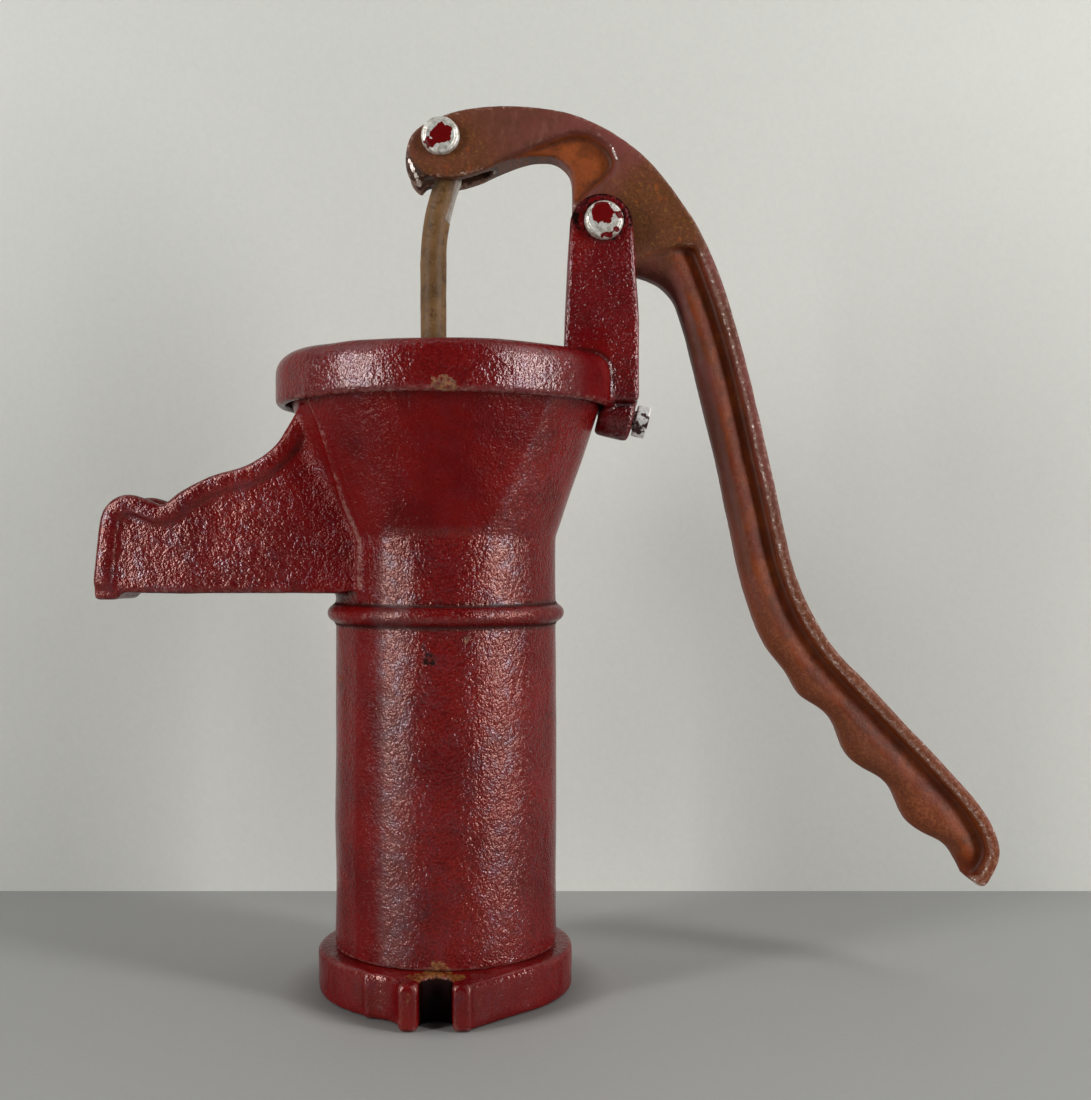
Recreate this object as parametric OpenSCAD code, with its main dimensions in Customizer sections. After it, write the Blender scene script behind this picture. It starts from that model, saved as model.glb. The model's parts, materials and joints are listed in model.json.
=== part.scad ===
// Hand pitcher pump: a cast-iron suction pump with an open spout.
// A plunger hangs on a lever handle, and the handle stands on a cap that turns on the barrel.
// Frame: origin on the barrel axis at the underside of the base, +Z up,
// handle towards +X, spout towards -X, pin heads towards -Y.

/* [Barrel] */
// Bore of the barrel
bore_d = 76.2; // [75.8:0.1:76.6]
// Outside diameter of the barrel
barrel_d = 92; // [90:0.5:94]
// Height of the small raised ring round the barrel
bead_z = 155.6; // [152:0.1:158]
// Height where the barrel starts to flare
flare_z = 187; // [184:0.5:190]
// Outward slope of the flare, radius per height
flare_slope = 0.327; // [0.3:0.001:0.34]

/* [Spout] */
// Distance from the barrel axis to the spout's front edge
spout_reach = 143.8; // [140:0.2:150]
// Half width of the spout at its mouth
mouth_half_w = 14; // [12:0.5:16]
// Half width of the spout where it meets the barrel
root_half_w = 32; // [29:0.5:33]
// Wall thickness of the spout
spout_wall = 4.5; // [3.5:0.1:5]

/* [Base] */
// Radius of the round base flange
flange_r = 52.8; // [51:0.1:54]
// Thickness of the base flange
flange_h = 18; // [16:0.5:18]
// Half width of a hold-down slot
slot_r = 6.4; // [5:0.1:7]
// Reach of the hold-down lugs from the axis
lug_reach = 62.5; // [61:0.1:64]
// Radius of the pipe hole, for a 1-1/4 inch pipe thread
pipe_r = 19.45; // [19:0.05:19.6]

/* [Cap] */
// Outside radius of the cap
cap_r = 70.5; // [69.5:0.1:72]
// Top face of the cap
cap_top_z = 261.5; // [261:0.1:263]
// Radius of the opening in the cap
cap_hole_r = 50; // [46:0.5:52]
// Thickness of each upright lug on the cap
lug_t = 7; // [6:0.5:7]

/* [Linkage] */
// Fulcrum pin axis, distance from the barrel axis
fulcrum_x = 65.3; // [65:0.1:66]
// Fulcrum pin axis, height
fulcrum_z = 315.5; // [315:0.1:316]
// Rod pin axis, X
rod_pin_x = -1.6; // [-2:0.1:-1]
// Rod pin axis, height
rod_pin_z = 351.9; // [351.5:0.1:352.3]
// Diameter of both pins
pin_d = 9.52; // [9.4:0.01:9.56]
// Diameter of the plunger rod
rod_d = 10.9; // [10.5:0.1:11.1]
// X of the straight part of the plunger rod
rod_x = -5.5; // [-6:0.1:-5]

/* [Handle] */
// Width of the handle across its cheeks and rim
handle_w = 23.4; // [22:0.1:23.6]
// Thickness of the rim along the handle's outer edge
rim_t = 4.6; // [3.5:0.1:5.5]
// Wave height of the finger grips
grip_wave = 2.3; // [0:0.1:2.5]

/* [Plunger] */
// Underside of the plunger when the handle is down
plunger_z = 131; // [130:0.5:132]
// Running gap between the cup leather and the bore
leather_gap = 0.08; // [0.04:0.01:0.1]

/* [Hidden] */
$fn = 64;

red = "#6b1518";
rust = "#6f3f2c";
olive = "#6a5a3c";
silver = "#c9c8c4";
hide = "#8a5f3a";
brass = "#b08d4a";

bore_r = bore_d / 2;
barrel_r = barrel_d / 2;
pin_r = pin_d / 2;
rod_r = rod_d / 2;
half_w = handle_w / 2;

// The stack at the bottom: hub of the base, valve leather, shoulder of the barrel
barrel_z = 21.8;
hub_r = 41;
hub_z = 32;
leather_t = 2.5;
shoulder_z = hub_z + leather_t;
pipe_len = 22;
port_r = 16.5;
flap_r = 28;
ring_inner_r = 30;
flap_hinge_x = 29.9;

// The top of the barrel, inside the cap's skirt
rim_z = 246;
rim_top_z = 253.4;
rim_r = flare_r(rim_z);
wall_t = 6;
skirt_z = 240.2;
skirt_inner_r = 66.4;
cap_under_z = 253.5;
cap_round = 8;

// Set screw: a 5/16 inch hexagon-head screw, square to the flare
screw_r = 3.95;
screw_tilt = 14;
screw_x = 81.7;
screw_z = 235.4;

// Cap lugs
lug_gap = 24.2;
lug_out = lug_gap / 2 + lug_t;
lug_top = [64.4, 314];
lug_top_r = 12.9;
lug_left_x = 48.6;
lug_right_x = 80;

// Running clearances, on radius
pin_gap = 0.06;
fork_gap = 11.6;
eye_w = 10.6;
eye_r = 7.8;

// Spout heights
spout_z = 164;
drip_z = 161;
trough_z = spout_z + spout_wall;
rim_band = 7.5;
rim_proud = 2;

function flare_r(z) = barrel_r + 0.3 + (z - flare_z) * flare_slope;

// Point t of the way from b to c, on a smooth curve through a, b, c and d
function curve_point(a, b, c, d, t) =
    0.5 * (2 * b + (c - a) * t + (2 * a - 5 * b + 4 * c - d) * t * t
    + (3 * b - a - 3 * c + d) * t * t * t);

// Smooth curve through the given points, with n steps in each span
function smooth(pts, n = 4) = concat(
    [for (i = [0:len(pts) - 2], k = [0:n - 1])
        curve_point(pts[max(i - 1, 0)], pts[i], pts[i + 1], pts[min(i + 2, len(pts) - 1)], k / n)],
    [pts[len(pts) - 1]]);

// The same curve moved sideways by d, to the left of its direction of travel
function beside(pts, d) = [
    for (i = [0:len(pts) - 1])
        let (run = pts[min(i + 1, len(pts) - 1)] - pts[max(i - 1, 0)])
        pts[i] + d * [-run[1], run[0]] / norm(run)
];

function reversed(pts) = [for (i = [len(pts) - 1:-1:0]) pts[i]];

// A plate whose outline is given in X and Z, between two Y positions
module side_plate(pts, y0, y1) {
    translate([0, y1, 0]) rotate([90, 0, 0]) linear_extrude(y1 - y0) polygon(pts);
}

// A cylinder along Y
module y_rod(r, y0, y1, x, z) {
    translate([x, y1, z]) rotate([90, 0, 0]) cylinder(r = r, h = y1 - y0);
}

module hex_prism(across_flats, h) {
    cylinder(r = across_flats / sqrt(3), h = h, $fn = 6);
}

// ---------- base ----------

module lug_plan() {
    fillet_r = 14;
    prong_half_w = 14;
    difference() {
        polygon([
            [0, -30], [-29, -40], [-29, -61], [-prong_half_w, -61], [-prong_half_w, -lug_reach],
            [prong_half_w, -lug_reach], [prong_half_w, -60], [36.9, -37.4]
        ]);
        translate([-prong_half_w - fillet_r, -61]) circle(r = fillet_r);
    }
}

module slot_plan() {
    slot_y = 56.4;
    translate([0, -slot_y]) circle(r = slot_r);
    translate([-slot_r, -slot_y - 20]) square([2 * slot_r, 20]);
}

module base() {
    color(red) difference() {
        union() {
            linear_extrude(flange_h) difference() {
                union() {
                    circle(r = flange_r);
                    for (turn = [0, 180]) rotate(turn) lug_plan();
                }
                for (turn = [0, 180]) rotate(turn) slot_plan();
            }
            cylinder(r = hub_r, h = hub_z);
        }
        translate([0, 0, -1]) cylinder(r = pipe_r, h = pipe_len + 1);
        cylinder(r = port_r, h = hub_z + 1);
    }
}

// ---------- barrel ----------

module barrel_outside() {
    rotate_extrude() polygon([
        [0, barrel_z], [barrel_r, barrel_z], [barrel_r, flare_z], [rim_r, rim_z],
        [rim_r, rim_top_z], [0, rim_top_z]
    ]);
    translate([0, 0, bead_z]) rotate_extrude() translate([barrel_r, 0]) circle(r = 3.6);
}

module barrel_inside() {
    rotate_extrude() polygon([
        [0, barrel_z - 1], [hub_r + 0.05, barrel_z - 1], [hub_r + 0.05, shoulder_z],
        [bore_r, shoulder_z], [bore_r, flare_z - 3], [rim_r - wall_t, rim_z],
        [rim_r - wall_t, rim_top_z + 1], [0, rim_top_z + 1]
    ]);
}

// Top edge of the spout's side, from the front edge back to the barrel
spout_top = smooth([
    [-spout_reach, 167], [-142.2, 181], [-140, 196], [-135.5, 202], [-128.5, 204.3],
    [-120.5, 202.3], [-114, 200], [-107, 204.8], [-93.5, 211.6], [-78, 216], [-66, 224.5], [-57, 238.5]
]);

module spout_plan(grow) {
    root_x = -33;
    polygon([
        [root_x, -root_half_w - grow], [root_x, root_half_w + grow],
        [-spout_reach - 2, mouth_half_w + grow], [-spout_reach - 2, -mouth_half_w - grow]
    ]);
}

module spout_outside() {
    root_x = -38;
    intersection() {
        translate([0, 0, drip_z - 1]) linear_extrude(90) spout_plan(0);
        side_plate(concat(spout_top, [
            [root_x, 238.5], [root_x, spout_z], [-132, spout_z], [-134, drip_z], [-spout_reach, drip_z]
        ]), -40, 40);
    }
    intersection() {
        translate([0, 0, drip_z - 1]) linear_extrude(90) spout_plan(rim_proud);
        side_plate(concat(spout_top, reversed(beside(spout_top, -rim_band))), -40, 40);
    }
}

module trough() {
    intersection() {
        translate([0, 0, trough_z]) linear_extrude(100) trough_plan();
        side_plate([
            [-20, trough_z], [-160, trough_z], [-160, 262], [-68, 262], [-68, 238], [-58, 226], [-20, 222]
        ], -40, 40);
    }
}

module trough_plan() {
    polygon([
        [-20, spout_wall - root_half_w], [-20, root_half_w - spout_wall],
        [-160, mouth_half_w - spout_wall - 1], [-160, 1 + spout_wall - mouth_half_w]
    ]);
}

module barrel() {
    color(red) difference() {
        union() {
            barrel_outside();
            spout_outside();
        }
        barrel_inside();
        trough();
    }
}

// ---------- lower valve ----------

module valve_leather() {
    color(hide) translate([0, 0, hub_z]) difference() {
        cylinder(r = hub_r - 0.1, h = leather_t);
        translate([0, 0, -1]) cylinder(r = ring_inner_r, h = leather_t + 2);
    }
}

module valve_flap() {
    tongue_w = 14;
    color(hide) translate([0, 0, hub_z]) difference() {
        union() {
            cylinder(r = flap_r, h = leather_t);
            intersection() {
                translate([0, -tongue_w / 2, 0]) cube([ring_inner_r, tongue_w, leather_t]);
                cylinder(r = ring_inner_r - 0.2, h = leather_t);
            }
        }
        translate([0, 0, -1]) cylinder(r = 3.3, h = leather_t + 2);
    }
}

module valve_weight() {
    weight_h = 8;
    color("#4a4a4c") translate([0, 0, shoulder_z]) difference() {
        rotate_extrude() polygon([[0, 0], [20, 0], [20, 3], [17, weight_h], [0, weight_h]]);
        translate([0, 0, -1]) cylinder(r = 3.2, h = weight_h + 2);
    }
}

module valve_washer() {
    color(brass) translate([0, 0, hub_z - 1.6]) difference() {
        cylinder(r = 12, h = 1.6);
        translate([0, 0, -1]) cylinder(r = 3.3, h = 4);
    }
}

module valve_screw() {
    head_z = hub_z - 1.6;
    color(brass) difference() {
        union() {
            translate([0, 0, head_z - 2.4]) cylinder(r = 5.4, h = 2.4);
            translate([0, 0, head_z - 1]) cylinder(r = 3.15, h = 13);
        }
        translate([-7, -0.7, head_z - 3]) cube([14, 1.4, 1.8]);
    }
}

// ---------- cap ----------

module cap_shell() {
    rotate_extrude() polygon(concat(
        [[cap_hole_r, cap_under_z], [skirt_inner_r, cap_under_z], [skirt_inner_r, skirt_z]],
        [[cap_r - 1.5, skirt_z], [cap_r, skirt_z + 1.5]],
        [for (a = [0:10:90]) [cap_r - cap_round, cap_top_z - cap_round] + cap_round * [cos(a), sin(a)]],
        [[cap_hole_r + 1.5, cap_top_z], [cap_hole_r, cap_top_z - 1.5]]
    ));
}

function lug_outline() = concat(
    [[lug_left_x, cap_under_z + 3]],
    [for (a = [172:-8:4]) lug_top + lug_top_r * [cos(a), sin(a)]],
    [[lug_right_x, 276], [lug_right_x, 242.5], [62, 242.5], [62, cap_under_z + 3]]
);

// Place things along the set screw: +X is outwards and down, the origin is the middle of its head
module on_screw_axis() {
    translate([screw_x, 0, screw_z]) rotate([0, screw_tilt, 0]) children();
}

module x_rod(r, x0, x1) {
    translate([x0, 0, 0]) rotate([0, 90, 0]) cylinder(r = r, h = x1 - x0);
}

module cap() {
    boss_r = 9.5;
    boss_face = -3.9;
    color(red) difference() {
        union() {
            cap_shell();
            side_plate(lug_outline(), -lug_out, -lug_gap / 2);
            side_plate(lug_outline(), lug_gap / 2, lug_out);
            translate([62, -lug_out, 242.5]) cube([lug_right_x - 62, 2 * lug_out, 26]);
            on_screw_axis() x_rod(boss_r, -20, boss_face);
        }
        rotate_extrude() polygon([
            [0, 215], [flare_r(215) + 1.2, 215], [flare_r(skirt_z) + 1.2, skirt_z], [skirt_inner_r, skirt_z],
            [skirt_inner_r, cap_under_z], [cap_hole_r, cap_under_z], [cap_hole_r, 275], [0, 275]
        ]);
        on_screw_axis() x_rod(screw_r + 0.05, -30, 0);
        y_rod(pin_r + 0.04, -30, 30, fulcrum_x, fulcrum_z);
    }
}

module set_screw() {
    head_h = 5.5;
    tip = -18.3;
    color(silver) on_screw_axis() {
        translate([-head_h / 2, 0, 0]) rotate([0, 90, 0]) rotate(30) hex_prism(12.7, head_h);
        x_rod(screw_r, tip + 2.5, 0);
        x_rod(2.6, tip, tip + 3);
    }
}

// ---------- pins ----------

// A round-headed pin along Y, with a hole for its cotter
module headed_pin(x, z, y_head, y_end) {
    head_r = 8;
    head_h = 3.4;
    difference() {
        union() {
            y_rod(pin_r, y_head, y_end, x, z);
            translate([x, y_head, z]) rotate([90, 0, 0]) rotate_extrude() polygon(concat(
                [[0, 0], [head_r, 0], [head_r, 1]],
                [for (a = [0:15:90]) [head_r - 2.4 + 2.4 * cos(a), head_h - 2.4 + 2.4 * sin(a)]],
                [[0, head_h + 0.3]]
            ));
        }
        translate([x, y_end - 4, z - 10]) cylinder(r = 1.5, h = 20);
    }
}

module pin_washer(x, z, y0) {
    difference() {
        y_rod(9, y0, y0 + 1.6, x, z);
        y_rod(pin_r + 0.1, y0 - 1, y0 + 3, x, z);
    }
}

// A split cotter that drops through a pin at y: two legs held together, a ring above, bent tips below
module cotter(x, z, y) {
    translate([x, y, z]) {
        translate([0, 0, -7]) cylinder(r = 1.2, h = 15);
        translate([0, 0, 9.4]) rotate([90, 0, 0]) rotate_extrude() translate([2, 0]) circle(r = 0.7);
        for (side = [-1, 1])
            translate([side * 0.3, 0, -6]) rotate([0, side * 140, 0]) cylinder(r = 0.6, h = 4.5);
    }
}

module fulcrum_pin() { color(silver) headed_pin(fulcrum_x, fulcrum_z, -lug_out, lug_out + 7.5); }
module fulcrum_washer() { color(silver) pin_washer(fulcrum_x, fulcrum_z, lug_out); }
module fulcrum_cotter() { color(silver) cotter(fulcrum_x, fulcrum_z, lug_out + 3.5); }
module rod_pin() { color(silver) headed_pin(rod_pin_x, rod_pin_z, -half_w, half_w + 7.5); }
module rod_pin_washer() { color(silver) pin_washer(rod_pin_x, rod_pin_z, half_w); }
module rod_pin_cotter() { color(silver) cotter(rod_pin_x, rod_pin_z, half_w + 3.5); }

// ---------- handle ----------

// Outer edge of the handle, from the tooth under its nose to the end of the grip
handle_outer = smooth([
    [-10.2, 331], [-15, 336], [-16.2, 344], [-13.3, 353.5], [-4, 359.6], [12.5, 364.2], [34, 364.5],
    [56, 360.5], [80.5, 346], [99, 324], [111.4, 300.7], [123.8, 262], [136.2, 208.8], [145, 171.5], [158, 145],
    [179.4, 121.2], [204.2, 95.1], [222.7, 73.7], [229.3, 57], [223.5, 43]
]);

// Inner edge, from the tooth back along the underside and down the shank
handle_inner = smooth([
    [-10.2, 331], [-8, 335.6], [3, 335], [13, 337.2], [25, 342.4], [37, 345.2], [46, 344.6], [52, 339],
    [53, 330], [53.2, 318], [56.5, 305], [65, 298.5], [80, 296.6], [92, 290.2], [98.5, 277], [106.4, 245],
    [112.7, 219.6], [118.2, 194.3], [124.5, 166], [132.5, 143.7], [142, 131]
]);

// Finger grips: a wave on a straight line down to the end of the handle
grip_start = [142, 131];
grip_end = [219.5, 44.5];
grip_pitch = 36.7;
first_crest = 26.5;
function grip_point(t) =
    let (
        run = grip_end - grip_start,
        dir = run / norm(run),
        side = [dir[1], -dir[0]],
        bow = 2 * sin(180 * t / norm(run)),
        wave = grip_wave * cos(360 * (t - first_crest) / grip_pitch) * min(1, t / 12)
    )
    grip_start + dir * t + side * (bow - wave);
handle_grip = [for (t = [4:4:112]) grip_point(t)];

// Width of the hollow behind the rim
valley_w = 7.5;

handle_shape = concat(handle_outer, [[220.5, 42.6]], reversed(handle_grip), reversed(handle_inner));

// A line below the fulcrum at distance d inside the handle's outer edge
function shank_line(d) = [for (p = beside(handle_outer, -d)) if (p[1] < 300 && p[1] > 46) p];

// Sunk panel behind the rim, from below the fulcrum to the end of the grip, open along the inner edge
module shank_panel() {
    polygon(concat(
        [[81, 288], [81, 306], [94, 309], [103, 307]],
        shank_line(rim_t),
        [[219, 30], [190, 30], [90, 200]]
    ));
}

// Deeper hollow between the rim and the bulb of the shank
module shank_valley() {
    polygon(concat([[102, 304]], shank_line(rim_t), reversed(shank_line(rim_t + valley_w))));
}

module handle_pocket() {
    polygon(concat(
        smooth([[14, 338.6], [23.5, 343.6], [34, 348], [44, 352.3], [53, 354.8], [61, 353.8], [68, 349],
            [71.4, 342.6], [69.8, 337], [62.2, 330]]),
        [[56, 324], [46, 326], [46, 338], [30, 336]]
    ));
}

// The same cut made from both faces, down to a web of the given half thickness
module both_faces(web) {
    for (side = [0, 1]) mirror([0, side, 0])
        translate([0, half_w + 1, 0]) rotate([90, 0, 0]) linear_extrude(half_w + 1 - web) children();
}

module handle() {
    color(rust) difference() {
        side_plate(handle_shape, -half_w, half_w);
        both_faces(8.6) shank_panel();
        both_faces(6.4) shank_valley();
        both_faces(7) handle_pocket();
        translate([-30, -fork_gap / 2, 320]) cube([44, fork_gap, 60]);
        translate([14, 0, 320]) cylinder(r = fork_gap / 2, h = 60);
        y_rod(pin_r + pin_gap, -20, 20, fulcrum_x, fulcrum_z);
        y_rod(pin_r + 0.04, -20, 20, rod_pin_x, rod_pin_z);
    }
}

// ---------- plunger rod ----------

rod_bend_r = 100;
rod_bend = 20.5;
rod_bend_z = 301.4;
cage_bar_z = plunger_z + 46;
bar_t = 6;
bar_play = 1;
washer_t = 2;
nut_h = 9.5;
rod_foot_z = cage_bar_z - bar_play - washer_t - nut_h - 3;

module plunger_rod() {
    neck = [rod_x + rod_bend_r * (1 - cos(rod_bend)), rod_bend_z + rod_bend_r * sin(rod_bend)];
    to_eye = [rod_pin_x, rod_pin_z] - neck;
    bend_gap = 0.15;
    color(olive) difference() {
        union() {
            translate([rod_x, 0, rod_foot_z]) cylinder(r = rod_r, h = rod_bend_z - 0.2 - rod_foot_z);
            // A low ridge where the bend begins
            translate([rod_x, 0, rod_bend_z - 0.5]) cylinder(r = rod_r + 0.15, h = 1.1);
            translate([rod_x + rod_bend_r, 0, rod_bend_z]) rotate([90, 0, 0])
                rotate([0, 0, 180 - rod_bend]) rotate_extrude(angle = rod_bend - bend_gap)
                    translate([rod_bend_r, 0]) circle(r = rod_r);
            // The forged neck under the eye
            translate([neck[0], 0, neck[1]]) sphere(r = rod_r + 0.2);
            translate([neck[0], 0, neck[1]]) rotate([0, atan2(to_eye[0], to_eye[1]), 0])
                translate([0, 0, 2]) cylinder(r = rod_r - 0.6, h = norm(to_eye) - 2);
            y_rod(eye_r, -eye_w / 2, eye_w / 2, rod_pin_x, rod_pin_z);
        }
        y_rod(pin_r + pin_gap, -20, 20, rod_pin_x, rod_pin_z);
    }
}

module rod_nut(z) {
    translate([rod_x, 0, z]) difference() {
        hex_prism(17.4, nut_h);
        translate([0, 0, -1]) cylinder(r = rod_r + 0.05, h = nut_h + 2);
    }
}

module rod_upper_nut() { color(silver) rod_nut(cage_bar_z + bar_t + bar_play + washer_t); }
module rod_lower_nut() { color(silver) rod_nut(cage_bar_z - bar_play - washer_t - nut_h); }

module rod_washers() {
    color(silver) for (z = [cage_bar_z - bar_play - washer_t, cage_bar_z + bar_t + bar_play])
        translate([rod_x, 0, z]) difference() {
            cylinder(r = 11, h = washer_t);
            translate([0, 0, -1]) cylinder(r = rod_r + 0.2, h = washer_t + 2);
        }
}

// ---------- plunger ----------

cage_hole_r = 24;
cup_t = 3;

module plunger_cage() {
    slot_mid = -8;
    slot_half = 6.7;
    slot_w_r = rod_r + 0.8;
    leg_h = 36;
    color("#4a4a4c") translate([0, 0, plunger_z]) difference() {
        union() {
            translate([0, 0, 7]) cylinder(r = bore_r - cup_t - 0.8, h = 7);
            for (side = [-1, 1]) translate([-6, side * 29 - 3, 12]) cube([12, 6, leg_h]);
            translate([-27, -13, 46]) cube([38, 26, bar_t]);
            translate([-6, -32, 46]) cube([12, 64, bar_t]);
        }
        translate([0, 0, 6]) cylinder(r = cage_hole_r, h = 9);
        for (end = [-1, 1])
            translate([slot_mid + end * slot_half, 0, 45]) cylinder(r = slot_w_r, h = bar_t + 2);
        translate([slot_mid - slot_half, -slot_w_r, 45]) cube([2 * slot_half, 2 * slot_w_r, bar_t + 2]);
    }
}

module cup_leather() {
    cup_r = bore_r - leather_gap;
    color(hide) translate([0, 0, plunger_z + 4]) rotate_extrude() polygon([
        [cage_hole_r + 0.2, 0], [cup_r - 3, 0], [cup_r, 3], [cup_r, 16], [cup_r - 1, 16], [cup_r - cup_t, 14],
        [cup_r - cup_t, cup_t], [cage_hole_r + 0.2, cup_t]
    ]);
}

module plunger_follower() {
    color("#4a4a4c") translate([0, 0, plunger_z]) difference() {
        union() {
            cylinder(r = 33, h = 4);
            cylinder(r = cage_hole_r - 0.05, h = 12);
        }
        translate([0, 0, -1]) cylinder(r = 17, h = 14);
    }
}

module poppet_valve() {
    color(brass) translate([0, 0, plunger_z + 12]) {
        rotate_extrude() polygon([[0, 0], [21, 0], [21, 2.5], [18, 4], [7, 5], [5, 8], [0, 8]]);
        for (turn = [0:120:240]) rotate(turn) translate([0, -1.2, -11]) cube([16.8, 2.4, 11.5]);
    }
}

base();
barrel();
valve_leather();
valve_flap();
valve_weight();
valve_washer();
valve_screw();
cap();
set_screw();
fulcrum_pin();
fulcrum_washer();
fulcrum_cotter();
handle();
rod_pin();
rod_pin_washer();
rod_pin_cotter();
plunger_rod();
rod_upper_nut();
rod_lower_nut();
rod_washers();
plunger_cage();
cup_leather();
plunger_follower();
poppet_valve();
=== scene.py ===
"""Hand pitcher pump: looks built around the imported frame.

Every piece is rebuilt from its CAD node as a distance field, so that edges come out rounded, inner corners
filled and castings lumpy. Colour, rust and the finest grain are node materials, steered by values stored on
the meshes' points.
Lengths inside the builders are millimetres; everything is metres once it is a mesh.
"""
import json
import math

import bpy
import numpy as np
import openvdb as vdb
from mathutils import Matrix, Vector


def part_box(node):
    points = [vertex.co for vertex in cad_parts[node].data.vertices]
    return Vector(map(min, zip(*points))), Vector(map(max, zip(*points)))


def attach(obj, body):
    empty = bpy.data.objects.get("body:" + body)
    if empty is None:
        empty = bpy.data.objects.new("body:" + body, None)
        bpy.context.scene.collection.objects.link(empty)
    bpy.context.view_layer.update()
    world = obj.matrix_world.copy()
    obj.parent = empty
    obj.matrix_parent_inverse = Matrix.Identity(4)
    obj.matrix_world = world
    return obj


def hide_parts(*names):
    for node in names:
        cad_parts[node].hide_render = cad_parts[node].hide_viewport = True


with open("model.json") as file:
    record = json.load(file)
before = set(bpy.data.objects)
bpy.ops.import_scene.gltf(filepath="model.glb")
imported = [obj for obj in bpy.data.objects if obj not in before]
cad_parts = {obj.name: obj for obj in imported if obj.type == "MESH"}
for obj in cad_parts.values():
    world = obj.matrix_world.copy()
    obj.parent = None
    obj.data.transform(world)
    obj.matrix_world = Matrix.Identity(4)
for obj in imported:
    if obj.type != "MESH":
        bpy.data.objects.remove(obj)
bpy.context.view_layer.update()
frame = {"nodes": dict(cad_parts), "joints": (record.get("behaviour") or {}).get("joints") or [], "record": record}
MM = 0.001
JOINTS = {j["name"]: j for j in frame["joints"]}


def joint_point(name):
    """Where a hinge sits, in millimetres."""
    return np.array(JOINTS[name]["pos_m"]) / MM


def node_box(name):
    """Lowest and highest corner of a CAD node, in millimetres."""
    low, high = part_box(name)
    return np.array(low) / MM, np.array(high) / MM


FULCRUM = joint_point("handle_lift")
ROD_PIN = joint_point("rod_swing")
FLARE_TOP = node_box("barrel")[1][2]
HANDLE_HALF = node_box("handle")[1][1]


# ---------- smooth random fields ----------

def lattice_noise(points, size, seed):
    """Smooth noise between -1 and 1 whose lumps are about size across."""
    q = points / size
    cell = np.floor(q).astype(np.int64)
    f = q - cell
    u = f * f * (3 - 2 * f)
    total = np.zeros(len(points))
    for corner in range(8):
        dx, dy, dz = corner & 1, corner >> 1 & 1, corner >> 2 & 1
        h = (cell[:, 0] + dx) * 374761393 + (cell[:, 1] + dy) * 668265263 + (cell[:, 2] + dz) * 2147483647
        h = (h + seed * 974711) & 0xFFFFFFFF
        h = ((h ^ (h >> 13)) * 1274126177) & 0xFFFFFFFF
        value = ((h ^ (h >> 16)) & 0xFFFF) / 32767.5 - 1
        weight = np.where(dx, u[:, 0], 1 - u[:, 0]) * np.where(dy, u[:, 1], 1 - u[:, 1])
        total += value * weight * np.where(dz, u[:, 2], 1 - u[:, 2])
    return total


# ---------- distance fields ----------

class Field:
    """Signed distance in millimetres on a regular grid: negative inside the metal."""

    def __init__(self, node, step, band=5):
        mesh = frame["nodes"][node].data
        points = np.zeros(len(mesh.vertices) * 3, np.float32)
        mesh.vertices.foreach_get("co", points)
        points = points.reshape(-1, 3) / np.float32(MM)
        mesh.calc_loop_triangles()
        triangles = np.zeros(len(mesh.loop_triangles) * 3, np.uint32)
        mesh.loop_triangles.foreach_get("vertices", triangles)
        self.step = step
        transform = vdb.createLinearTransform(voxelSize=step)
        grid = vdb.FloatGrid.createLevelSetFromPolygons(
            points, triangles=triangles.reshape(-1, 3), transform=transform, halfWidth=band)
        pad = 5
        self.first = np.floor(points.min(0) / step).astype(int) - pad
        last = np.ceil(points.max(0) / step).astype(int) + pad
        self.d = np.full(last - self.first + 1, band * step, np.float32)
        grid.copyToArray(self.d, ijk=tuple(int(i) for i in self.first))

    def axis(self, i):
        """Grid positions along one axis, shaped to broadcast against the field."""
        shape = [1, 1, 1]
        shape[i] = -1
        return ((self.first[i] + np.arange(self.d.shape[i])) * self.step).astype(np.float32).reshape(shape)

    def xyz(self):
        """The three axes, which broadcast together over the whole grid."""
        return self.axis(0), self.axis(1), self.axis(2)

    def cut(self, other):
        """Takes another shape's distance away from this one."""
        self.d = np.maximum(self.d, -other)

    def add(self, other, fillet=0.0):
        """Joins another shape's distance to this one."""
        self.d = smooth_min(self.d, other, fillet) if fillet else np.minimum(self.d, other)

    def at(self, points, values=None):
        """The field at scattered points, in millimetres."""
        values = self.d if values is None else values
        q = points / self.step - self.first
        q = np.clip(q, 0, np.array(self.d.shape) - 1.001)
        i = q.astype(int)
        f = q - i
        total = np.zeros(len(points))
        for corner in range(8):
            o = np.array([corner & 1, corner >> 1 & 1, corner >> 2 & 1])
            weight = np.prod(np.where(o, f, 1 - f), axis=1)
            c = i + o
            total += weight * values[c[:, 0], c[:, 1], c[:, 2]]
        return total

    def side_slice(self, y):
        """The field over the side view, at one position across it."""
        q = y / self.step - self.first[1]
        i = int(q)
        return self.d[:, i, :] * (1 - q + i) + self.d[:, i + 1, :] * (q - i)

    def normals(self, points):
        """Outward directions at scattered points."""
        h = self.step * 0.7
        n = np.stack([self.at(points + h * e) - self.at(points - h * e) for e in np.eye(3)], 1)
        return n / np.maximum(np.linalg.norm(n, axis=1, keepdims=True), 1e-9)


def blurred(d, passes):
    """The field averaged with its neighbours, which rounds edges and fills corners."""
    for _ in range(passes):
        for i in range(3):
            p = np.concatenate([np.take(d, [0], i), d, np.take(d, [-1], i)], i)
            a, b, c = [np.take(p, range(k, k + d.shape[i]), i) for k in range(3)]
            d = (a + 2 * b + c) / 4
    return d


def smooth_min(a, b, k):
    """The lower of two fields, blended where they differ by less than k."""
    h = np.clip(0.5 + 0.5 * (b - a) / k, 0, 1)
    return b + (a - b) * h - k * h * (1 - h)


def smoothstep(x, lo, hi):
    """0 up to lo and 1 from hi on, with a smooth rise between; it falls if hi is below lo."""
    t = np.clip((x - lo) / (hi - lo), 0, 1)
    return t * t * (3 - 2 * t)


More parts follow.
